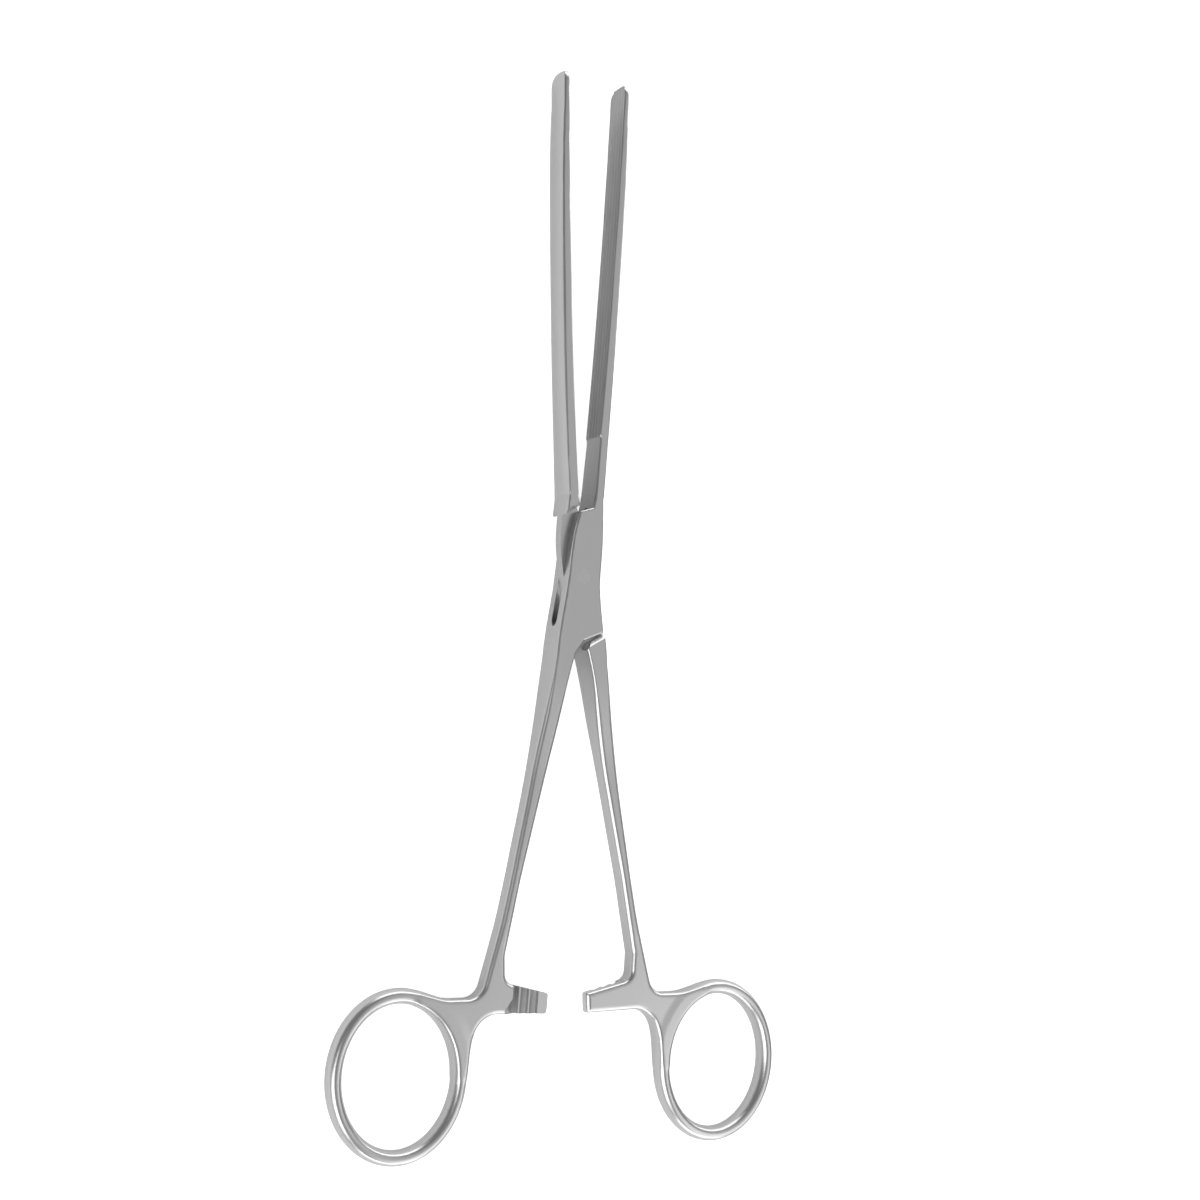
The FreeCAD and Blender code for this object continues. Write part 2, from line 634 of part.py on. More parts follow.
if __name__ == "__main__":
    pivot_pin = make_pin()
    parts = {
        "box_arm": make_box_arm(pivot_pin),
        "tongue_arm": make_tongue_arm(),
        "pivot_pin": pivot_pin,
    }
    for name, shape in parts.items():
        shape.exportStep("parts/" + name + ".step")
        print(name, "valid", shape.isValid(), "solids", len(shape.Solids), "volume", round(shape.Volume, 1))
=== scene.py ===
"""Straight box-lock occlusion forceps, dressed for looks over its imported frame.

Each arm is a forged blank, given by a distance field and meshed here, that is then machined: the slot or the
tongue, the ratchet teeth and the jaw ridges are cut from it. Lengths in the classes are millimetres in the
frame of the part, and each arm is described with its jaws closed, its handle to the right and its jaw to the
left. Meshes reach the scene in metres, at rest.
"""

import logging
import math
from dataclasses import dataclass, field
from enum import Enum
from typing import Any, Callable, Optional, Sequence

import bpy
import numpy as np
from mathutils import Matrix, Vector

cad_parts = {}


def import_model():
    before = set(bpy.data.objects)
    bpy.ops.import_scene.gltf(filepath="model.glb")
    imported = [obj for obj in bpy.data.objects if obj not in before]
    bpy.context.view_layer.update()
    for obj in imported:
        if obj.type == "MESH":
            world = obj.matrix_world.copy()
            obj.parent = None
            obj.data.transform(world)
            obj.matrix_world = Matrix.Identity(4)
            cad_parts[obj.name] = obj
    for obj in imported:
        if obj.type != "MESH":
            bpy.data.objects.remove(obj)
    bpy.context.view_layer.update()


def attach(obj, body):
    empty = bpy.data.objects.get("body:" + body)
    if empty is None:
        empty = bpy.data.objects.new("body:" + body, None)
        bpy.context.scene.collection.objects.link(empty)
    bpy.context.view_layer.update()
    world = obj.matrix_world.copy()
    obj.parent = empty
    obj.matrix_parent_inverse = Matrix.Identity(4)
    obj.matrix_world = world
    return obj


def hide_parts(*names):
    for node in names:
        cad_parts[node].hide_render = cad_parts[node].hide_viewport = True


LOG = logging.getLogger("forceps")
METRES = 0.001
MID_Z = 3.5
REST_TURN = 3.57

Array = np.ndarray
Row = tuple[float, ...]
Place = tuple[float, float]


class Side(Enum):
    """Which arm a form belongs to."""

    BOX = -1
    TONGUE = 1


def eased(low: float, high: float, value: Array) -> Array:
    """Return 0 below low, 1 above high, and a smooth ramp between.

    Args:
        low: where the ramp starts.
        high: where the ramp ends.
        value: the places to read it at.

    Returns:
        The share at each place.
    """
    share = np.clip((value - low) / (high - low), 0.0, 1.0)
    return share * share * (3.0 - 2.0 * share)


def soft_min(a: Array, b: Array, reach: float) -> Array:
    """Return the union of two distances, filled where they meet.

    Args:
        a: the first distance.
        b: the second distance.
        reach: how wide the filled corner is.

    Returns:
        The joined distance.
    """
    share = np.maximum(reach - np.abs(a - b), 0.0) / reach
    return np.minimum(a, b) - share * share * reach * 0.25


def soft_max(a: Array, b: Array, reach: float) -> Array:
    """Return the common part of two distances, its edge rounded off over reach."""
    return -soft_min(-a, -b, reach)


def curve_through(points: Sequence[tuple[float, float]], steps: int) -> list[tuple[float, float]]:
    """Return points along a smooth curve through others.

    Args:
        points: the places that the curve passes.
        steps: how many parts each run is divided in.

    Returns:
        The divided curve, without its last point.
    """
    ends = [tuple(2 * np.array(points[0]) - np.array(points[1]))] + list(points)
    ends.append(tuple(2 * np.array(points[-1]) - np.array(points[-2])))
    result = []
    for before, start, end, after in zip(ends, ends[1:], ends[2:], ends[3:]):
        knots = [0.0]
        four = [np.array(place, dtype=float) for place in (before, start, end, after)]
        for first, second in zip(four, four[1:]):
            knots.append(knots[-1] + math.sqrt(np.linalg.norm(second - first)))
        t0, t1, t2, t3 = knots
        for step in range(steps):
            t = t1 + (t2 - t1) * step / steps
            a1 = four[0] * (t1 - t) / (t1 - t0) + four[1] * (t - t0) / (t1 - t0)
            a2 = four[1] * (t2 - t) / (t2 - t1) + four[2] * (t - t1) / (t2 - t1)
            a3 = four[2] * (t3 - t) / (t3 - t2) + four[3] * (t - t2) / (t3 - t2)
            b1 = a1 * (t2 - t) / (t2 - t0) + a2 * (t - t0) / (t2 - t0)
            b2 = a2 * (t3 - t) / (t3 - t1) + a3 * (t - t1) / (t3 - t1)
            result.append(tuple(b1 * (t2 - t) / (t2 - t1) + b2 * (t - t1) / (t2 - t1)))
    return result


def rounded_corner(before: tuple, corner: tuple, after: tuple, radius: float, steps: int = 10) -> list[tuple]:
    """Return the arc that rounds one corner of an outline.

    Args:
        before: the outline's point ahead of the corner.
        corner: the corner.
        after: the outline's next point.
        radius: the arc's radius.
        steps: how many chords stand for the arc.

    Returns:
        The points of the arc.
    """
    c = np.array(corner, dtype=float)
    u = np.array(before, dtype=float) - c
    v = np.array(after, dtype=float) - c
    u, v = u / np.linalg.norm(u), v / np.linalg.norm(v)
    half = math.acos(float(np.clip(u @ v, -1, 1))) / 2
    centre = c + (u + v) / np.linalg.norm(u + v) * radius / math.sin(half)
    start, end = c + u * radius / math.tan(half), c + v * radius / math.tan(half)
    first = math.atan2(*(start - centre)[::-1])
    turn = math.atan2(*(end - centre)[::-1]) - first
    turn = (turn + math.pi) % (2 * math.pi) - math.pi
    angles = [first + turn * i / steps for i in range(steps + 1)]
    return [tuple(centre + radius * np.array((math.cos(angle), math.sin(angle)))) for angle in angles]


class Outline:
    """A closed outline in plan, read as a signed distance.

    Places are worked through in bands along y, each against the edges that come near it, and a place without an
    edge near it counts as FAR outside.
    """

    BAND = 6.0
    MARGIN = 5.0
    FAR = 6.0

    def __init__(self, points: Sequence[tuple[float, float]]) -> None:
        """Keep the outline's points and edges.

        Args:
            points: the corners in order.
        """
        self.start = np.array(points, dtype=float)
        self.end = np.roll(self.start, -1, axis=0)

    def distance(self, x: Array, y: Array) -> Array:
        """Return how far each place lies outside the outline, in bands along y.

        Args:
            x: the places' x.
            y: the places' y.

        Returns:
            The distance, negative inside.
        """
        result = np.full(x.shape, self.FAR)
        low = np.minimum(self.start[:, 1], self.end[:, 1])
        high = np.maximum(self.start[:, 1], self.end[:, 1])
        band = np.floor(y / self.BAND).astype(int)
        for number in np.unique(band):
            chosen = band == number
            near = (low < (number + 1) * self.BAND + self.MARGIN) & (high > number * self.BAND - self.MARGIN)
            if near.any():
                result[chosen] = self._distance_to(x[chosen], y[chosen], self.start[near], self.end[near])
        return result

    @staticmethod
    def _distance_to(x: Array, y: Array, start: Array, end: Array) -> Array:
        """Return the signed distance of places to some of the outline's edges."""
        nearest = np.full(x.shape, 1e9)
        inside = np.zeros(x.shape, dtype=bool)
        for (ax, ay), (bx, by) in zip(start, end):
            ex, ey = bx - ax, by - ay
            wx, wy = x - ax, y - ay
            t = np.clip((wx * ex + wy * ey) / (ex * ex + ey * ey), 0.0, 1.0)
            nearest = np.minimum(nearest, (wx - ex * t) ** 2 + (wy - ey * t) ** 2)
            if by != ay:
                inside ^= ((ay > y) != (by > y)) & (wx < ex * wy / ey)
        return np.where(inside, -1.0, 1.0) * np.sqrt(nearest)


@dataclass
class Jaw:
    """The D-shaped jaw: a flat inner face along a slight bow, two edge strips and a crowned back.

    The rows give the thickness, the width of the flat strip and the softness of the crease between strip and
    crown at the places of table_y. Relief is how far the inner face falls back between the lock and the ridges.
    """

    length: float = 111.2
    root_y: float = 18.0
    bow: float = 0.58
    root_gap: float = 0.84
    tip_gap: float = 0.03
    half_width: float = 3.2
    table_y: Row = (18.0, 24.0, 30.0, 36.0, 42.0, 51.0, 60.0, 70.0, 80.0, 88.0, 95.0, 100.0, 104.0)
    thickness: Row = (2.75, 2.8, 2.82, 2.85, 2.85, 2.82, 2.75, 2.65, 2.5, 2.4, 2.25, 2.1, 1.9)
    strip: Row = (2.2, 2.2, 2.15, 2.1, 2.05, 1.95, 1.85, 1.8, 1.75, 1.7, 1.6, 1.45, 1.25)
    crease: Row = (0.15, 0.15, 0.18, 0.22, 0.26, 0.28, 0.28, 0.28, 0.28, 0.28, 0.28, 0.28, 0.28)
    nose_length: float = 2.5
    nose_thickness: float = 1.0
    nose_width_share: float = 0.5
    relief: float = 0.3
    ridges_start: float = 31.0
    edge: float = 0.35
    root_start: float = -1.2
    root_ease: float = 1.6

    def __post_init__(self) -> None:
        """Work out the arc of the inner face."""
        chord_x, chord_y = self.tip_gap - self.root_gap, self.length - self.root_y
        chord = math.hypot(chord_x, chord_y)
        self.bow_radius = (chord ** 2 / 4 + self.bow ** 2) / (2 * self.bow)
        reach = self.bow_radius - self.bow
        self.bow_x = (self.tip_gap + self.root_gap) / 2 - reach * chord_y / chord
        self.bow_y = (self.length + self.root_y) / 2 + reach * chord_x / chord

    def inner(self, y: Array) -> Array:
        """Return how far the inner face stands from the closing line at y."""
        return self.bow_x + np.sqrt(self.bow_radius ** 2 - (y - self.bow_y) ** 2)

    def distance(self, x: Array, y: Array, z: Array) -> Array:
        """Return the distance to the jaw on the left.

        Args:
            x: the places' x.
            y: the places' y.
            z: the places' height above the middle plane.

        Returns:
            The distance, negative inside.
        """
        depth = -x - self.inner(np.clip(y, self.root_y - 2.0, self.length + 2.0))
        into_nose = np.clip((y - (self.length - self.nose_length)) / self.nose_length, 0.0, 0.999)
        swell = np.sqrt(1.0 - into_nose ** 2)
        full = eased(self.root_y, self.ridges_start, y)
        width = MID_Z - 0.01 + (self.half_width - MID_Z + 0.01) * full
        width = width * (self.nose_width_share + (1 - self.nose_width_share) * swell)
        thick = np.interp(y, self.table_y, self.thickness)
        strip = np.interp(y, self.table_y, self.strip)
        crease = np.interp(y, self.table_y, self.crease)
        share = strip / thick
        thick = self.nose_thickness + (thick - self.nose_thickness) * swell
        crown = thick * (1 - share)
        radius = (crown ** 2 + width ** 2) / (2 * crown)
        back = np.sqrt((depth - (thick - radius)) ** 2 + z ** 2) - radius
        relief = self.relief * (1.0 - eased(self.ridges_start - 0.5, self.ridges_start + 0.5, y))
        sides = soft_max(np.abs(z) - width, relief - depth, self.edge)
        bar = soft_max(soft_max(sides, back, crease), y - self.length, self.edge)
        return soft_max(bar, self.root_y + self.root_start - y, self.root_ease)


@dataclass
class Ring:
    """The finger ring: an oval bar swept round an oval."""

    HOLE_LEVEL = 0.4
    HOLE_OFFSET = -9.0
    LEAST_SLOPE = 1e-3

    x: float = 30.8
    y: float = -103.9
    half_width: float = 13.335
    half_length: float = 15.53
    tilt: float = -7.0
    wall: float = 3.09
    height: float = 4.5

    def path(self, start: float, end: float, steps: int) -> list[tuple[float, float]]:
        """Return points on the middle line of the bar between two angles in degrees."""
        tilt = math.radians(self.tilt)
        result = []
        for angle in np.radians(np.linspace(start, end, steps)):
            px, py = self.half_width * math.cos(angle), self.half_length * math.sin(angle)
            result.append((self.x + px * math.cos(tilt) - py * math.sin(tilt),
                           self.y + px * math.sin(tilt) + py * math.cos(tilt)))
        return result

    def distance(self, x: Array, y: Array, z: Array) -> Array:
        """Return the distance to the ring's surface."""
        tilt = math.radians(self.tilt)
        dx, dy = x - self.x, y - self.y
        px, py = dx * math.cos(tilt) + dy * math.sin(tilt), dy * math.cos(tilt) - dx * math.sin(tilt)
        level = np.hypot(px / self.half_width, py / self.half_length)
        slope = np.hypot(px / self.half_width ** 2, py / self.half_length ** 2)
        away = level * (level - 1.0) / np.maximum(slope, self.LEAST_SLOPE)
        off = np.where(level < self.HOLE_LEVEL, self.HOLE_OFFSET, away)
        a, b = self.wall / 2, self.height / 2
        near = np.hypot(off / a, z / b)
        return near * (near - 1.0) / np.maximum(np.hypot(off / a ** 2, z / b ** 2), self.LEAST_SLOPE)


@dataclass
class Blank:
    """One arm as forged: lock block, shank, neck, ratchet bar, ring and jaw, before it is machined."""

    side: Side
    jaw: Jaw = field(default_factory=Jaw)
    ring: Ring = field(default_factory=Ring)
    lock_half: float = 3.49
    shank_half: float = 2.15
    taper_top: float = -19.0
    taper_end: float = -44.0
    lock_edge: float = 0.42
    shank_edge: float = 1.05
    edge_change: Place = (19.0, 32.0)
    neck_fill: float = 2.4
    cap_fall: Place = (66.0, 78.0)
    cap_rise: float = 1.7
    cap_edge: float = 0.3
    jaw_fill: float = 0.25
    jaw_join: float = 18.6
    jaw_inset: float = 0.35
    cell: float = 0.3

    OUTER: tuple[Place, ...] = ((4.65, -10.0), (4.95, -14.4), (5.12, -19.0), (5.42, -22.5), (6.4, -31.0), (7.4, -39.5),
                    (8.35, -48.0), (9.4, -56.0), (10.48, -64.4), (11.7, -72.6), (12.65, -77.5))
    INNER: tuple[Place, ...] = ((10.1, -79.5), (9.1, -72.4), (7.95, -64.0), (6.6, -56.0), (5.25, -48.0), (3.83, -39.5),
                    (2.6, -31.0), (1.7, -22.5), (1.12, -19.0))

    def __post_init__(self) -> None:
        """Draw the arm's outline from the lock round the handle and back."""
        if self.side is Side.TONGUE:
            self.jaw.relief = 0.0
        handle = self._handle()
        inner = float(self.jaw.inner(np.array(self.jaw.root_y)))
        jaw_root = (-inner - self.jaw_inset, self.jaw_join)
        jaw_back = (-inner - self.jaw.strip[0], self.jaw_join)
        if self.side is Side.BOX:
            right = curve_through([(2.35, 13.9), (3.3, 9.0), (3.92, -2.3)] + list(self.OUTER), 6)
            left = curve_through([(-5.8, -11.2), (-4.6, -5.2), (-4.0, -0.9), (-3.85, 7.8), jaw_back], 8)
            points = right + handle + curve_through(self.INNER, 6)
            points += [(1.12, -19.0), (0.45, -16.0), (-1.3, -13.5)] + left + [jaw_back, jaw_root, (-0.75, 15.2)]
        else:
            right = curve_through([(3.2, 5.0), (3.8, 0.0), (4.35, -8.0)] + list(self.OUTER[1:]), 6)
            left = curve_through([(-3.2, -5.0), (-3.8, 0.0), (-4.35, 8.0), jaw_back], 8)
            points = right + handle + curve_through(self.INNER, 6)
            points += [(1.12, -19.0), (0.45, -16.0)] + left + [jaw_back, jaw_root, (-0.45, 16.0)]
        self.outline = Outline(points)

    def _handle(self) -> list[tuple[float, float]]:
        """Return the outline of the neck and ratchet bar, from the shank's outer foot to its inner one."""
        foot = self.OUTER[-1]
        notch = (14.85, -88.2)
        joined = self.ring.path(112.0, 183.0, 24)
        web = (14.4, -91.35)
        low_tip, high_tip = (-1.4, -90.9), (-1.4, -86.75)
        root = (9.55, -84.9)
        points = [foot]
        points += rounded_corner(foot, notch, joined[0], 3.6)
        points += joined
        points += rounded_corner(joined[-1], web, low_tip, 5.5)
        points += rounded_corner(web, low_tip, high_tip, 0.6, 5)
        points += rounded_corner(low_tip, high_tip, root, 0.4, 5)
        points += rounded_corner(high_tip, root, self.INNER[0], 2.2)
        return points

    def distance(self, x: Array, y: Array, z: Array) -> Array:
        """Return the distance to the forged blank.

        Args:
            x: the places' x.
            y: the places' y.
            z: the places' height above the middle plane; its shape may add an axis to that of x and y.

        Returns:
            The distance, negative inside.
        """
        if x.ndim == 3:
            plan = self.outline.distance(x[:, :, 0], y[:, :, 0])[:, :, None]
        else:
            plan = self.outline.distance(x, y)
        down = eased(-self.taper_top, -self.taper_end, -y)
        half = self.lock_half + (self.shank_half - self.lock_half) * down
        edge = self.lock_edge + (self.shank_edge - self.lock_edge) * eased(*self.edge_change, -y)
        side, top = plan + edge, np.abs(z) - half + edge
        body = np.hypot(np.maximum(side, 0), np.maximum(top, 0)) + np.minimum(np.maximum(side, top), 0) - edge
        body = soft_min(body, self.ring.distance(x, y, z), self.neck_fill)
        cap = self.ring.height / 2 + self.cap_rise * (1.0 - eased(*self.cap_fall, -y))
        body = soft_max(body, np.abs(z) - cap, self.cap_edge)
        whole = soft_min(body, self.jaw.distance(x, y, z), self.jaw_fill)
        return np.maximum(whole, np.abs(z) - self.lock_half)


class Mesher:
    """Turns a distance field into a mesh of even quads whose corners lie on the surface."""

    STEP = 0.01
    LEAST_SLOPE = 0.05
    LONGEST_MOVE = 0.3
    ROUNDS = 4
    SLAB_ROWS = 60

    def __init__(self, distance: Callable[[Array, Array, Array], Array], cell: float) -> None:
        """Keep the field and the size of its cells.

        Args:
            distance: the field, in millimetres.
            cell: the side of one cell.
        """
        self.distance = distance
        self.cell = cell

    def slope(self, points: Array) -> Array:
        """Return the field's gradient at each point."""
        slope = np.empty_like(points)
        for axis in range(3):
            ahead, behind = points.copy(), points.copy()
            ahead[:, axis] += self.STEP
            behind[:, axis] -= self.STEP
            slope[:, axis] = (self.distance(*ahead.T) - self.distance(*behind.T)) / (2 * self.STEP)
        return slope

    def _settle(self, points: Array) -> Array:
        """Return the points moved onto the surface."""
        for _ in range(self.ROUNDS):
            slope = self.slope(points)
            size = np.maximum((slope ** 2).sum(axis=1), self.LEAST_SLOPE)
            move = np.clip(self.distance(*points.T), -self.LONGEST_MOVE, self.LONGEST_MOVE) / size
            points = points - slope * move[:, None]
        return points

    def mesh(self, low: Sequence[float], high: Sequence[float]) -> tuple[Array, Array]:
        """Mesh the surface inside a box.

        Args:
            low: the box's lowest corner.
            high: the box's highest corner.

        Returns:
            The points, and the quads as rows of point numbers, facing outwards.
        """
        axes = [np.arange(lo, hi + self.cell, self.cell) for lo, hi in zip(low, high)]
        x, y = np.meshgrid(axes[0], axes[1], indexing="ij")
        values = np.empty((len(axes[0]), len(axes[1]), len(axes[2])))
        for start in range(0, len(axes[1]), self.SLAB_ROWS):
            rows = slice(start, start + self.SLAB_ROWS)
            wide = (x[:, rows], y[:, rows])
            values[:, rows, :] = self._slab(wide, axes[2])
        inside = values < 0
        corners = [(i, j, k) for i in (0, 1) for j in (0, 1) for k in (0, 1)]
        shape = [n - 1 for n in values.shape]

        def shifted(grid: Array, corner: tuple[int, int, int]) -> Array:
            """Return the grid's values at one corner of every cell."""
            return grid[tuple(slice(c, c + n) for c, n in zip(corner, shape))]

        count = sum(shifted(inside, c).astype(np.int8) for c in corners)
        active = (count > 0) & (count < 8)
        number = np.full(shape, -1, dtype=np.int64)
        number[active] = np.arange(active.sum())
        where = np.argwhere(active)
        total = np.zeros((len(where), 3))
        crossings = np.zeros(len(where))
        for axis in range(3):
            for c in corners:
                if c[axis]:
                    continue
                far = tuple(1 if a == axis else v for a, v in enumerate(c))
                v0, v1 = shifted(values, c)[active], shifted(values, far)[active]
                cut = (v0 < 0) != (v1 < 0)
                place = np.tile(np.array(c, dtype=float), (len(where), 1))
                place[:, axis] += np.where(cut, v0 / np.where(cut, v0 - v1, 1.0), 0.0)
                total += place * cut[:, None]
                crossings += cut
        points = np.array([a[0] for a in axes]) + (where + total / crossings[:, None]) * self.cell
        quads = []
        for axis in range(3):
            near = [slice(None)] * 3
            far = [slice(None)] * 3
            near[axis], far[axis] = slice(0, -1), slice(1, None)
            start, end = inside[tuple(near)], inside[tuple(far)]
            for leaving in (True, False):
                edge = (start & ~end) if leaving else (~start & end)
                spots = np.argwhere(edge)
                one, two = [a for a in range(3) if a != axis]
                cells = []
                for d1, d2 in ((0, 0), (-1, 0), (-1, -1), (0, -1)):
                    spot = spots.copy()
                    spot[:, one] += d1
                    spot[:, two] += d2
                    cells.append(number[tuple(spot.T)])
                quad = np.stack(cells, axis=1)
                flip = leaving if axis != 1 else not leaving
                quads.append(quad if flip else quad[:, ::-1])
        return self._settle(points), np.concatenate(quads)

    def _slab(self, wide: tuple[Array, Array], heights: Array) -> Array:
        """Return the field on a slab of the grid."""
        x, y = wide
        full = np.broadcast_to(x[:, :, None], x.shape + heights.shape)
        return self.distance(full, np.broadcast_to(y[:, :, None], full.shape),
                             np.broadcast_to(heights, full.shape))


class Field:
    """A number or colour that runs through a material's nodes."""

    def __init__(self, tree: bpy.types.NodeTree, socket: bpy.types.NodeSocket) -> None:
        """Wrap one output socket of a node tree."""
        self.tree = tree
        self.socket = socket

    def _maths(self, kind: str, left: Any, right: Any) -> "Field":
        """Return the result of a Math node on two values."""
        return build(self.tree, "ShaderNodeMath", {"operation": kind}, {0: left, 1: right})

    def __add__(self, other: Any) -> "Field":
        """Return the sum."""
        return self._maths("ADD", self, other)

    def __radd__(self, other: Any) -> "Field":
        """Return the sum, where the other value comes first."""
        return self._maths("ADD", other, self)

    def __sub__(self, other: Any) -> "Field":
        """Return the difference."""
        return self._maths("SUBTRACT", self, other)

    def __rsub__(self, other: Any) -> "Field":
        """Return the difference, where the other value comes first."""
        return self._maths("SUBTRACT", other, self)

    def __mul__(self, other: Any) -> "Field":
        """Return the product."""
        return self._maths("MULTIPLY", self, other)

    def __rmul__(self, other: Any) -> "Field":
        """Return the product, where the other value comes first."""
        return self._maths("MULTIPLY", other, self)


def build(tree: bpy.types.NodeTree, kind: str, settings: dict[str, Any], inputs: dict[Any, Any],
          output: Any = 0) -> Optional[Field]:
    """Add a node, set it up and link it.

    Args:
        tree: the tree that gets the node.
        kind: the node's type name.
        settings: the node's own settings, set first; a ramp's stops come as (place, colour) pairs.
        inputs: values or links by socket name or number.
        output: the output to return, or None for a node that ends a tree.

    Returns:
        The chosen output.
    """
    node = tree.nodes.new(kind)
    for name, value in settings.items():
        if name == "stops":
            ramp = node.color_ramp
            while len(ramp.elements) < len(value):
                ramp.elements.new(0.5)
            for element, (place, colour) in zip(ramp.elements, value):
                element.position = place
                element.color = colour
        else:
            setattr(node, name, value)
    for name, value in inputs.items():
        socket = node.inputs[name]
        if isinstance(value, Field):
            tree.links.new(value.socket, socket)
        else:
            socket.default_value = value
    return None if output is None else Field(tree, node.outputs[output])


@dataclass(frozen=True)
class SatinSteel:
    """Stainless steel, ground and glass-beaded to a satin finish."""

    name: str
    grey: float = 0.58
    mottle: float = 0.03
    roughness: float = 0.3
    unevenness: float = 0.03
    grain_along: tuple[float, float, float] = (9000.0, 500.0, 9000.0)
    grain_depth: float = 0.0000015

    def material(self) -> bpy.types.Material:
        """Return the finish as a material."""
        material = bpy.data.materials.new(self.name)
        material.use_nodes = True
        tree = material.node_tree
        tree.nodes.clear()
        place = build(tree, "ShaderNodeTexCoord", {}, {}, "Object")
        along = build(tree, "ShaderNodeMapping", {}, {"Vector": place, "Scale": self.grain_along})
        grain = build(tree, "ShaderNodeTexNoise", {}, {"Vector": along, "Scale": 1.0, "Detail": 3.0}, "Fac")
        cloud = build(tree, "ShaderNodeTexNoise", {}, {"Vector": place, "Scale": 160.0, "Detail": 4.0}, "Fac")
        speck = build(tree, "ShaderNodeTexNoise", {}, {"Vector": place, "Scale": 7000.0, "Detail": 2.0}, "Fac")
        tone = self.grey * (1.0 - self.mottle) + 2.0 * self.grey * self.mottle * (0.6 * cloud + 0.4 * grain)
        warm = build(tree, "ShaderNodeCombineColor", {}, {"Red": tone, "Green": tone, "Blue": tone})
        rough = self.roughness - self.unevenness + 2.0 * self.unevenness * (0.5 * cloud + 0.5 * speck)
        bump = build(tree, "ShaderNodeBump", {}, {"Strength": 0.35, "Distance": self.grain_depth,
                                                  "Height": 0.6 * grain + 0.4 * speck})
        shader = build(tree, "ShaderNodeBsdfPrincipled", {}, {
            "Base Color": warm, "Roughness": rough, "Metallic": 1.0, "Normal": bump})
        build(tree, "ShaderNodeOutputMaterial", {}, {"Surface": shader}, None)
        return material


@dataclass(frozen=True)
class StudioFloor:
    """A plain pale ground that keeps a soft shadow and looks white to the camera."""

    name: str = "pale_floor"
    paint: float = 0.86
    seen_lift: float = 0.75
    mirrored_lift: float = 0.16

    def material(self) -> bpy.types.Material:
        """Return the ground as a material."""
        material = bpy.data.materials.new(self.name)
        material.use_nodes = True
        tree = material.node_tree
        tree.nodes.clear()
        paint = (self.paint,) * 3 + (1.0,)
        camera = build(tree, "ShaderNodeLightPath", {}, {}, "Is Camera Ray")
        glossy = build(tree, "ShaderNodeLightPath", {}, {}, "Is Glossy Ray")
        through = build(tree, "ShaderNodeLightPath", {}, {}, "Is Transmission Ray")
        lift = camera * self.seen_lift + (glossy + through) * self.mirrored_lift
        matt = build(tree, "ShaderNodeBsdfDiffuse", {}, {"Color": paint})
        glow = build(tree, "ShaderNodeEmission", {}, {"Color": (1.0, 1.0, 1.0, 1.0), "Strength": lift})
        both = build(tree, "ShaderNodeAddShader", {}, {0: matt, 1: glow})
        build(tree, "ShaderNodeOutputMaterial", {}, {"Surface": both}, None)
        return material


class TreeMaker:
    """Builds a Geometry Nodes tree and turns its result into a plain mesh."""

    def __init__(self, name: str, sizes: dict[str, float]) -> None:
        """Start a tree with named inputs.

        Args:
            name: the tree's name.
            sizes: the inputs and their values; a whole number gives a whole-number input.
        """
        self.tree = bpy.data.node_groups.new(name, "GeometryNodeTree")
        self.sizes = sizes
        self.tree.interface.new_socket("Geometry", in_out="OUTPUT", socket_type="NodeSocketGeometry")
        for label, value in sizes.items():
            kind = "NodeSocketInt" if isinstance(value, int) else "NodeSocketFloat"
            self.tree.interface.new_socket(label, in_out="INPUT", socket_type=kind)
        self.source = self.tree.nodes.new("NodeGroupInput")

    def size(self, label: str) -> Field:
        """Return a named input as a field."""
        return Field(self.tree, self.source.outputs[label])

    def node(self, kind: str, settings: dict[str, Any], inputs: dict[Any, Any], output: Any = 0) -> Field:
        """Add a node to the tree and return one of its outputs."""
        return build(self.tree, kind, settings, inputs, output)

    def finish(self, shape: Field, material: bpy.types.Material) -> bpy.types.Mesh:
        """Realize the shape, evaluate it once and return it as a plain mesh.

        Args:
            shape: the geometry that the tree ends in.
            material: the material that its faces get.

        Returns:
            The mesh.
        """
        real = self.node("GeometryNodeRealizeInstances", {}, {0: shape})
        dressed = self.node("GeometryNodeSetMaterial", {}, {"Geometry": real, "Material": material})
        output = self.tree.nodes.new("NodeGroupOutput")
        self.tree.links.new(dressed.socket, output.inputs[0])
        holder = bpy.data.objects.new(self.tree.name, bpy.data.meshes.new(self.tree.name))
        bpy.context.scene.collection.objects.link(holder)
        modifier = holder.modifiers.new("shape", "NODES")
        modifier.node_group = self.tree
        for item in self.tree.interface.items_tree:
            if item.in_out == "INPUT":
                modifier[item.identifier] = self.sizes[item.name]
        graph = bpy.context.evaluated_depsgraph_get()
        mesh = bpy.data.meshes.new_from_object(holder.evaluated_get(graph))
        bpy.data.objects.remove(holder)
        return mesh


def prism(name: str, sections: Sequence[Sequence[tuple[float, float, float]]]) -> bpy.types.Mesh:
    """Return a closed mesh through sections of equal corner count, in millimetres.

    Args:
        name: the mesh's name.
        sections: rings of corners from one end to the other.

    Returns:
        The mesh, its faces outwards.
    """
    size = len(sections[0])
    corners = [corner for section in sections for corner in section]
    faces = [list(range(size))[::-1], list(range(len(corners) - size, len(corners)))]
    for row in range(len(sections) - 1):
        for i in range(size):
            j = (i + 1) % size
            faces.append([row * size + i, row * size + j, (row + 1) * size + j, (row + 1) * size + i])
    mesh = bpy.data.meshes.new(name)
    mesh.from_pydata(corners, [], faces)
    return mesh


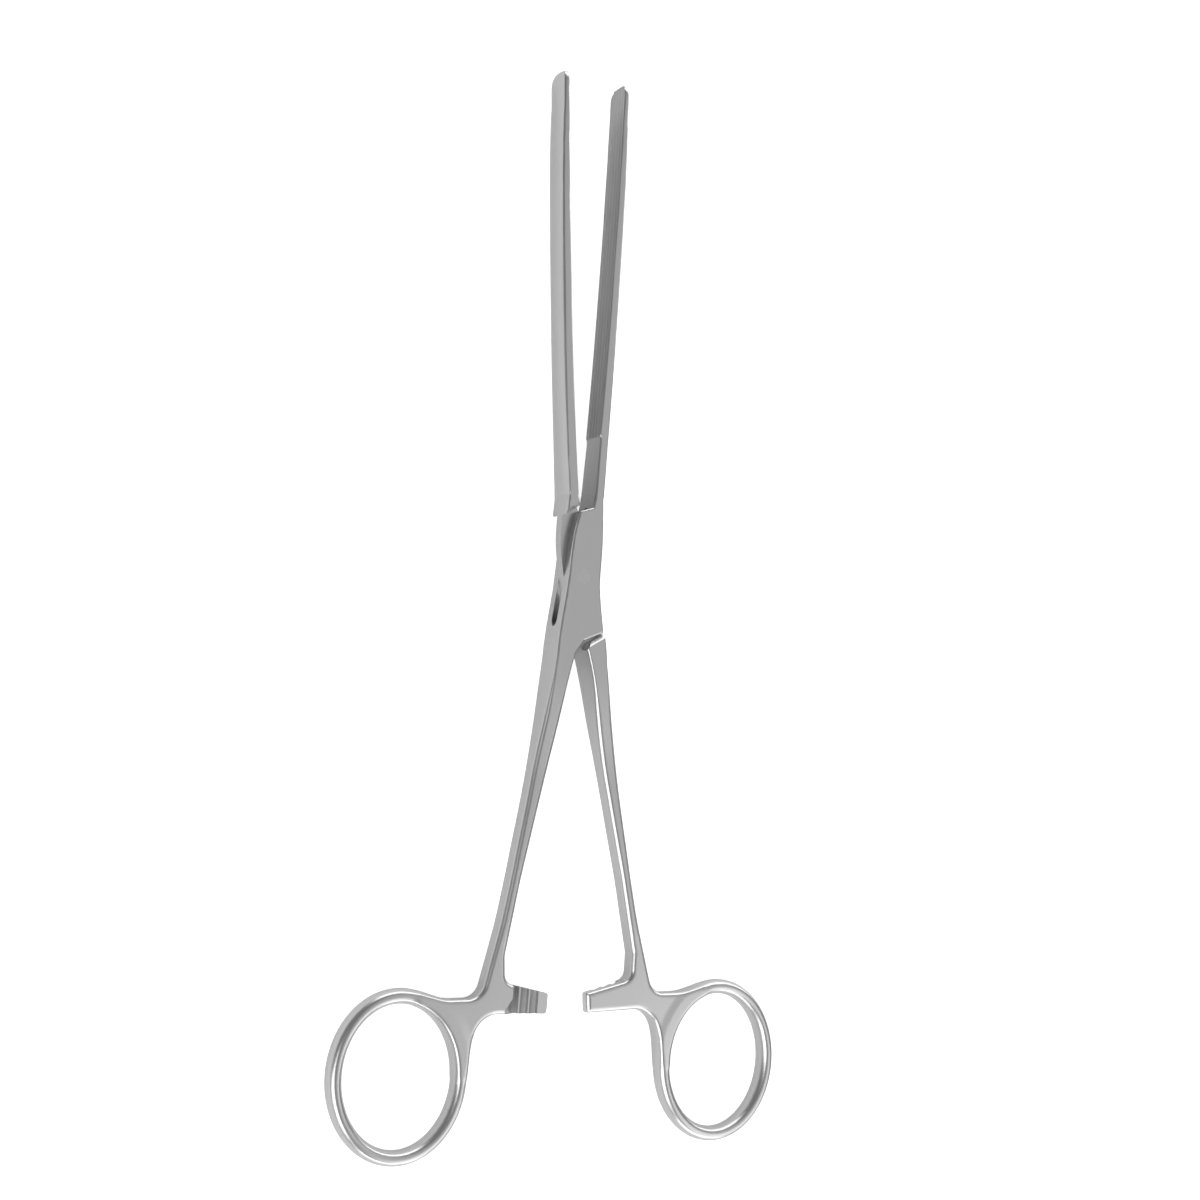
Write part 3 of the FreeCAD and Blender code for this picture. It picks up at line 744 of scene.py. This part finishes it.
def outward(mesh: bpy.types.Mesh) -> bpy.types.Mesh:
    """Turn a closed mesh's faces outwards and return it."""
    mesh.calc_loop_triangles()
    points = np.empty(len(mesh.vertices) * 3)
    mesh.vertices.foreach_get("co", points)
    points = points.reshape(-1, 3)
    corners = np.empty(len(mesh.loop_triangles) * 3, dtype=np.int64)
    mesh.loop_triangles.foreach_get("vertices", corners)
    a, b, c = (points[corners.reshape(-1, 3)[:, i]] for i in range(3))
    if float((a * np.cross(b, c)).sum()) < 0:
        mesh.flip_normals()
    return mesh


@dataclass
class Machining:
    """The cuts that finish a blank: slot or tongue, ratchet teeth and jaw ridges."""

    blank: Blank
    slot_reach: float = 10.6
    slot_half: float = 1.15
    slot_angle: float = 140.0
    tongue_half: float = 1.1
    upper_angle: float = 120.0
    lower_angle: float = -63.0
    upper_shoulder: float = 13.5
    lower_shoulder: float = 12.78
    foot_line: tuple[tuple[float, float], tuple[float, float]] = ((1.3, -13.5), (-0.45, -16.0))
    foot_clearance: float = 0.3
    bevel: float = 0.8
    overcut: float = 0.4
    far: float = 40.0
    split: float = 0.06
    tooth_pitch: float = 2.26
    tooth_depth: float = 0.9
    first_crest: float = 0.52
    tooth_grooves: int = 3
    tooth_flat: float = 0.3
    ramp_end: float = 10.0
    ramp_skew: float = -0.45
    bar_middle: float = -88.95
    bar_low: float = -95.7
    bar_high: float = -84.2
    ridge_count: int = 5
    ridge_pitch: float = 1.2
    ridge_depth: float = 0.28
    ridge_floor: float = 0.1
    ridge_crest: float = 0.12

    def cutters(self, material: bpy.types.Material) -> list[bpy.types.Mesh]:
        """Return the cutting solids for this arm, in millimetres.

        Args:
            material: the material that the tree-built cutters carry.

        Returns:
            The meshes, one for each cut.
        """
        tools = [self._slot()] if self.blank.side is Side.BOX else [self._tongue(1), self._tongue(-1)]
        tools += [self._bar_half(), self._tooth_grooves(material), self._ridges(material)]
        return [outward(tool) for tool in tools]

    def _slot(self) -> bpy.types.Mesh:
        """Return the round-ended channel that the tongue passes through."""
        straight = self.slot_reach - self.slot_half
        section = []
        for end, first in ((1, -90.0), (-1, 90.0)):
            for angle in np.radians(np.linspace(first, first + 180.0, 17)):
                section.append((end * straight + self.slot_half * math.cos(angle), self.slot_half * math.sin(angle)))
        turn = math.radians(self.slot_angle)
        along = (math.cos(turn), math.sin(turn))
        rings = []
        for reach in (-self.far, self.far):
            rings.append([(s * along[0] - reach * along[1], s * along[1] + reach * along[0], z)
                          for s, z in section])
        return prism("slot_cutter", rings)

    def _tongue(self, upward: int) -> bpy.types.Mesh:
        """Return the block that leaves the tongue bare on one side, with bevelled shoulders.

        Args:
            upward: 1 for the side that faces up, and -1 for the other.

        Returns:
            The cutting solid.
        """
        def line(angle: float, distance: float, along: float) -> np.ndarray:
            """Return a point on the line that faces an angle at a distance."""
            turn = math.radians(angle)
            return distance * np.array((math.cos(turn), math.sin(turn))) + along * np.array(
                (-math.sin(turn), math.cos(turn)))

        inner, crotch = (np.array(place) for place in self.foot_line)
        fall = (crotch - inner) / np.linalg.norm(crotch - inner)
        aside = np.array((-fall[1], fall[0]))
        inner = inner + aside * self.foot_clearance
        rim = self.blank.lock_half
        levels = ((self.tongue_half, 0.0), (rim - self.bevel, 0.0), (rim + self.overcut, self.bevel + self.overcut))
        rings = []
        for height, spread in levels:
            turn = math.radians(self.lower_angle)
            facing = np.array((math.cos(turn), math.sin(turn)))
            meet = inner + fall * ((self.lower_shoulder + spread - inner @ facing) / (fall @ facing))
            ring = [inner + fall * 15.0, meet, line(self.lower_angle, self.lower_shoulder + spread, 30.0),
                    line(self.upper_angle, self.upper_shoulder + spread, -30.0),
                    line(self.upper_angle, self.upper_shoulder + spread, 30.0)]
            rings.append([(float(place[0]), float(place[1]), upward * height) for place in ring])
        return prism("tongue_cutter", rings)

    def _bar_half(self) -> bpy.types.Mesh:
        """Return what is cut from the ratchet bar to leave one half of it, with a ramp at its root."""
        keep = self.blank.side.value
        root = self.first_crest + self.tooth_grooves * self.tooth_pitch
        valley = self.split + self.tooth_depth
        fall = self.blank.shank_half + valley
        rings = []
        for y in (self.bar_low, self.bar_high):
            reach = self.ramp_end + self.ramp_skew * (y - self.bar_middle) - root
            over = 1.0 + 1.5 / fall
            deep = valley - fall * over
            ring = [(-3.0, self.split), (root, self.split), (root, valley), (root + reach * over, deep), (-3.0, deep)]
            rings.append([(x, y, keep * level) for x, level in ring])
        return prism("bar_cutter", rings)

    def _tooth_grooves(self, material: bpy.types.Material) -> bpy.types.Mesh:
        """Return the row of saw-tooth grooves along the bar."""
        keep = self.blank.side.value
        maker = TreeMaker("ratchet_grooves", {
            "Groove count": self.tooth_grooves, "Pitch": self.tooth_pitch, "Depth": self.tooth_depth,
            "Width": self.bar_high - self.bar_low, "First crest": self.first_crest, "Level": self.split,
            "Crest flat": self.tooth_flat})
        pitch, depth, level = maker.size("Pitch"), maker.size("Depth"), maker.size("Level")
        flat = maker.size("Crest flat")
        gap = pitch - flat
        step = maker.node("ShaderNodeCombineXYZ", {}, {"X": pitch})
        start = maker.node("ShaderNodeCombineXYZ", {}, {
            "X": maker.size("First crest") + flat + 0.5 * gap, "Y": (self.bar_low + self.bar_high) / 2,
            "Z": keep * level + 0.5 * keep * depth})
        row = maker.node("GeometryNodeMeshLine", {}, {
            "Count": maker.size("Groove count"), "Start Location": start, "Offset": step})
        block = maker.node("GeometryNodeMeshCube", {}, {
            "Size": maker.node("ShaderNodeCombineXYZ", {}, {"X": gap, "Y": maker.size("Width"), "Z": depth})})
        place = maker.node("GeometryNodeInputPosition", {}, {})
        x = maker.node("ShaderNodeSeparateXYZ", {}, {"Vector": place}, "X")
        z = maker.node("ShaderNodeSeparateXYZ", {}, {"Vector": place}, "Z")
        deep = maker.node("FunctionNodeCompare", {"operation": "GREATER_THAN"}, {0: keep * z, 1: 0.0})
        pulled = maker.node("ShaderNodeCombineXYZ", {}, {"X": -0.5 * gap - x})
        wedge = maker.node("GeometryNodeSetPosition", {}, {"Geometry": block, "Selection": deep, "Offset": pulled})
        lowered = maker.node("GeometryNodeSetPosition", {}, {
            "Geometry": wedge, "Selection": maker.node("FunctionNodeBooleanMath", {"operation": "NOT"}, {0: deep}),
            "Offset": (0.0, 0.0, -keep * 0.02)})
        merged = maker.node("GeometryNodeMergeByDistance", {}, {"Geometry": lowered, "Distance": 0.001})
        grooves = maker.node("GeometryNodeInstanceOnPoints", {}, {"Points": row, "Instance": merged})
        return maker.finish(grooves, material)

    def _ridges(self, material: bpy.types.Material) -> bpy.types.Mesh:
        """Return the grooves that leave lengthwise ridges on the jaw, along its bow."""
        jaw = self.blank.jaw
        start = math.asin((jaw.ridges_start - jaw.bow_y) / jaw.bow_radius)
        end = math.asin((jaw.length + 1.0 - jaw.bow_y) / jaw.bow_radius)
        flank = (self.ridge_pitch - self.ridge_crest - self.ridge_floor) / 2
        spread = self.ridge_floor / 2 + flank * 1.5
        maker = TreeMaker("jaw_grooves", {
            "Groove count": self.ridge_count, "Pitch": self.ridge_pitch, "Depth": self.ridge_depth,
            "Bow radius": jaw.bow_radius, "Bow start": math.pi - start, "Bow sweep": start - end})
        depth = maker.size("Depth")
        floor = self.ridge_floor / 2
        corners = [maker.node("ShaderNodeCombineXYZ", {}, {"X": reach * depth, "Y": y}) for reach, y in
                   ((0.5, -spread), (0.5, spread), (-1.0, floor), (-1.0, -floor))]
        groove = maker.node("GeometryNodeCurvePrimitiveQuadrilateral", {"mode": "POINTS"}, {
            "Point 1": corners[0], "Point 2": corners[1], "Point 3": corners[2], "Point 4": corners[3]})
        pitch = maker.size("Pitch")
        row = maker.node("GeometryNodeMeshLine", {}, {
            "Count": maker.size("Groove count"),
            "Start Location": maker.node("ShaderNodeCombineXYZ", {}, {"Y": (1 - self.ridge_count) / 2 * pitch}),
            "Offset": maker.node("ShaderNodeCombineXYZ", {}, {"Y": pitch})})
        section = maker.node("GeometryNodeRealizeInstances", {}, {0: maker.node(
            "GeometryNodeInstanceOnPoints", {}, {"Points": row, "Instance": groove})})
        arc = maker.node("GeometryNodeCurveArc", {}, {
            "Resolution": 48, "Radius": maker.size("Bow radius"), "Start Angle": maker.size("Bow start"),
            "Sweep Angle": maker.size("Bow sweep")})
        placed = maker.node("GeometryNodeTransform", {}, {
            "Geometry": arc, "Translation": (-jaw.bow_x, jaw.bow_y, 0.0)})
        upright = maker.node("GeometryNodeSetCurveNormal", {"mode": "Z_UP"}, {"Curve": placed})
        grooves = maker.node("GeometryNodeCurveToMesh", {}, {
            "Curve": upright, "Profile Curve": section, "Fill Caps": True})
        return maker.finish(grooves, material)


@dataclass
class Arm:
    """One finished arm: its forged blank, machined and turned to rest.

    A face is forged skin where its middle lies within SKIN_REACH of the blank's surface and its own normal agrees
    with the field's by SKIN_AGREEMENT, and is a cut face otherwise.
    """

    SKIN_REACH = 0.04
    SKIN_AGREEMENT = 0.6

    side: Side
    body: str
    node: str
    finish: SatinSteel
    low: tuple[float, float, float] = (-6.8, -122.6, -3.9)
    high: tuple[float, float, float] = (47.2, 112.4, 3.9)

    def make(self) -> bpy.types.Object:
        """Build, machine, dress and place the arm.

        Returns:
            The finished piece.
        """
        blank = Blank(self.side)
        points, quads = Mesher(blank.distance, blank.cell).mesh(self.low, self.high)
        mesh = bpy.data.meshes.new(self.node + "_dressed")
        mesh.from_pydata(points, [], quads)
        material = self.finish.material()
        piece = bpy.data.objects.new(self.node + "_dressed", outward(mesh))
        bpy.context.scene.collection.objects.link(piece)
        self._machine(piece, Machining(blank).cutters(material))
        mesh = piece.data
        normals = self._normals(mesh, blank)
        mesh.materials.clear()
        mesh.materials.append(material)
        mesh.polygons.foreach_set("material_index", np.zeros(len(mesh.polygons), dtype=np.int32))
        mesh.polygons.foreach_set("use_smooth", np.ones(len(mesh.polygons), dtype=bool))
        mesh.normals_split_custom_set(normals.tolist())
        turn = Matrix.Rotation(math.radians(self.side.value * REST_TURN), 4, "Z")
        mirror = Matrix.Diagonal((float(self.side.value), 1.0, 1.0, 1.0))
        place = Matrix.Translation((0.0, 0.0, MID_Z * METRES)) @ Matrix.Scale(METRES, 4) @ turn @ mirror
        self._carry(mesh, place, normals)
        return piece

    @staticmethod
    def _machine(piece: bpy.types.Object, tools: Sequence[bpy.types.Mesh]) -> None:
        """Cut the tools from the piece and keep the result as its plain mesh."""
        holders = []
        for tool in tools:
            holder = bpy.data.objects.new(tool.name, tool)
            bpy.context.scene.collection.objects.link(holder)
            holders.append(holder)
            cut = piece.modifiers.new(tool.name, "BOOLEAN")
            cut.operation = "DIFFERENCE"
            cut.solver = "MANIFOLD"
            cut.object = holder
        graph = bpy.context.evaluated_depsgraph_get()
        result = bpy.data.meshes.new_from_object(piece.evaluated_get(graph))
        piece.modifiers.clear()
        piece.data = result
        for holder in holders:
            bpy.data.objects.remove(holder)

    @staticmethod
    def _normals(mesh: bpy.types.Mesh, blank: Blank) -> Array:
        """Return a normal for each face corner: the field's own on forged skin, and flat on cut faces.

        Args:
            mesh: the machined mesh, in millimetres.
            blank: the blank whose field gives the forged skin.

        Returns:
            The normals, one row for each face corner.
        """
        places = np.empty(len(mesh.vertices) * 3)
        mesh.vertices.foreach_get("co", places)
        places = places.reshape(-1, 3)
        slope = Mesher(blank.distance, blank.cell).slope(places)
        slope /= np.maximum(np.linalg.norm(slope, axis=1, keepdims=True), 1e-6)
        flat = np.empty(len(mesh.polygons) * 3)
        mesh.polygons.foreach_get("normal", flat)
        flat = flat.reshape(-1, 3)
        corners = np.empty(len(mesh.loops), dtype=np.int64)
        mesh.loops.foreach_get("vertex_index", corners)
        sizes = np.empty(len(mesh.polygons), dtype=np.int64)
        mesh.polygons.foreach_get("loop_total", sizes)
        owner = np.repeat(np.arange(len(sizes)), sizes)
        middle = np.empty(len(mesh.polygons) * 3)
        mesh.polygons.foreach_get("center", middle)
        middle = middle.reshape(-1, 3)
        off = np.abs(blank.distance(*middle.T))
        agrees = (slope[corners] * flat[owner]).sum(axis=1)
        skin = (off[owner] < Arm.SKIN_REACH) & (agrees > Arm.SKIN_AGREEMENT)
        return np.where(skin[:, None], slope[corners], flat[owner])

    @staticmethod
    def _carry(mesh: bpy.types.Mesh, place: Matrix, normals: Array) -> None:
        """Move a mesh and its corner normals to their place, turning its faces over if it is mirrored."""
        turn = np.array(place.to_3x3().normalized())
        mirrored = place.determinant() < 0
        if mirrored:
            corners = np.empty(len(mesh.loops), dtype=np.int64)
            mesh.loops.foreach_get("vertex_index", corners)
            start = np.empty(len(mesh.polygons), dtype=np.int64)
            mesh.polygons.foreach_get("loop_start", start)
            size = np.empty(len(mesh.polygons), dtype=np.int64)
            mesh.polygons.foreach_get("loop_total", size)
            index = np.arange(len(corners))
            owner = np.repeat(np.arange(len(size)), size)
            back = start[owner] + (size[owner] - (index - start[owner])) % size[owner]
            normals = normals[back]
        mesh.transform(place)
        if mirrored:
            mesh.flip_normals()
        mesh.normals_split_custom_set((normals @ turn.T).tolist())


@dataclass
class Rivet:
    """The pivot rivet, dressed flush with both cheeks."""

    radius: float = 1.55
    waist: float = 1.3
    flare: float = 0.5
    height: float = 6.998
    break_edge: float = 0.05
    sides: int = 96

    def make(self, finish: SatinSteel) -> bpy.types.Object:
        """Build and dress the rivet.

        Args:
            finish: the finish of its heads.

        Returns:
            The finished piece.
        """
        half = self.height / 2
        profile = [(0.0, half), (self.radius * 0.5, half), (self.radius - self.break_edge, half - 0.002),
                   (self.radius, half - self.break_edge), (self.waist, half - self.flare)]
        profile += [(reach, -height) for reach, height in reversed(profile)]
        angles = [math.tau * i / self.sides for i in range(self.sides)]
        rings = []
        for reach, height in profile:
            reach = max(reach, 1e-4)
            rings.append([(reach * math.cos(angle), reach * math.sin(angle), MID_Z + height) for angle in angles])
        mesh = outward(prism("pivot_pin_dressed", rings))
        mesh.transform(Matrix.Scale(METRES, 4))
        mesh.polygons.foreach_set("use_smooth", np.ones(len(mesh.polygons), dtype=bool))
        mesh.set_sharp_from_angle(angle=math.radians(35.0))
        mesh.materials.append(finish.material())
        piece = bpy.data.objects.new("pivot_pin_dressed", mesh)
        bpy.context.scene.collection.objects.link(piece)
        return piece


@dataclass(frozen=True)
class Lamp:
    """One soft rectangular lamp, with its bearing from +X towards +Y and its elevation in degrees."""

    name: str
    bearing: float
    elevation: float
    distance: float
    size: tuple[float, float]
    brightness: float


@dataclass
class Studio:
    """The floor, the lamps and the camera."""

    camera_at: tuple[float, float, float] = (-181.1, -49.9, 327.4)
    right: tuple[float, float, float] = (0.8642, 0.0264, 0.5025)
    up: tuple[float, float, float] = (-0.0838, 0.9922, 0.0919)
    lens: float = 52.64
    world_grey: float = 0.22
    floor_reach: float = 3.0
    lamps: tuple[Lamp, ...] = (
        Lamp("above", 13.0, 60.0, 1.1, (0.9, 0.9), 0.4),
        Lamp("front_right", 315.0, 38.0, 1.0, (0.7, 0.7), 1.35),
        Lamp("front_left", 215.0, 38.0, 1.0, (0.9, 0.9), 2.4),
        Lamp("far_low", 60.0, 13.0, 1.1, (1.9, 0.6), 2.4),
        Lamp("near_low", 280.0, 12.0, 1.0, (1.0, 0.6), 2.2))

    def make(self) -> None:
        """Build the whole stage."""
        self._camera()
        self._floor()
        self._world()
        for lamp in self.lamps:
            self._lamp(lamp)

    def _camera(self) -> None:
        """Place the camera where the photograph was taken from."""
        data = bpy.data.cameras.new("camera")
        data.lens = self.lens
        data.sensor_width = 36.0
        data.clip_start, data.clip_end = 0.01, 20.0
        camera = bpy.data.objects.new("camera", data)
        right, up = Vector(self.right).normalized(), Vector(self.up)
        up = (up - right * up.dot(right)).normalized()
        back = right.cross(up)
        turn = Matrix((right, up, back)).transposed().to_4x4()
        camera.matrix_world = Matrix.Translation(Vector(self.camera_at) * METRES) @ turn
        bpy.context.scene.collection.objects.link(camera)
        bpy.context.scene.camera = camera

    def _floor(self) -> None:
        """Lay the floor that the forceps lies on."""
        reach = self.floor_reach
        mesh = bpy.data.meshes.new("floor")
        mesh.from_pydata([(-reach, -reach, 0.0), (reach, -reach, 0.0), (reach, reach, 0.0), (-reach, reach, 0.0)],
                         [], [(0, 1, 2, 3)])
        mesh.materials.append(StudioFloor().material())
        floor = bpy.data.objects.new("floor", mesh)
        bpy.context.scene.collection.objects.link(floor)

    def _world(self) -> None:
        """Light the scene softly from all round, and look white past the floor's edge."""
        world = bpy.data.worlds.new("studio")
        world.use_nodes = True
        tree = world.node_tree
        tree.nodes.clear()
        camera = build(tree, "ShaderNodeLightPath", {}, {}, "Is Camera Ray")
        strength = self.world_grey + (1.0 - self.world_grey) * camera
        glow = build(tree, "ShaderNodeBackground", {}, {"Color": (1.0, 1.0, 1.0, 1.0), "Strength": strength})
        build(tree, "ShaderNodeOutputWorld", {}, {"Surface": glow}, None)
        bpy.context.scene.world = world

    @staticmethod
    def _lamp(plan: Lamp) -> None:
        """Hang one soft rectangular lamp that faces the forceps."""
        data = bpy.data.lights.new(plan.name, "AREA")
        data.shape = "RECTANGLE"
        data.size, data.size_y = plan.size
        data.energy = plan.brightness * math.pi * plan.size[0] * plan.size[1]
        lamp = bpy.data.objects.new(plan.name, data)
        about, lift = math.radians(plan.bearing), math.radians(plan.elevation)
        spot = Vector((math.cos(about) * math.cos(lift), math.sin(about) * math.cos(lift), math.sin(lift)))
        turn = spot.to_track_quat("Z", "Y").to_matrix().to_4x4()
        lamp.matrix_world = Matrix.Translation(spot * plan.distance) @ turn
        bpy.context.scene.collection.objects.link(lamp)


def main() -> None:
    """Build every piece, dress it, and say which body carries it."""
    logging.basicConfig(level=logging.INFO, format="%(name)s: %(message)s")
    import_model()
    bpy.context.scene.view_settings.view_transform = "Standard"
    Studio().make()
    steel = SatinSteel("satin_steel")
    for arm in (Arm(Side.BOX, "box_side", "box_arm", steel), Arm(Side.TONGUE, "tongue_side", "tongue_arm", steel)):
        piece = arm.make()
        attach(piece, arm.body)
        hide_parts(arm.node)
        LOG.info("%s: %d faces, rides on %s", piece.name, len(piece.data.polygons), arm.body)
    rivet = Rivet().make(SatinSteel("rivet_steel", grey=0.6, roughness=0.28))
    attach(rivet, "box_side")
    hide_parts("pivot_pin")
    LOG.info("%s: rides on box_side", rivet.name)


if __name__ == "__main__":
    main()
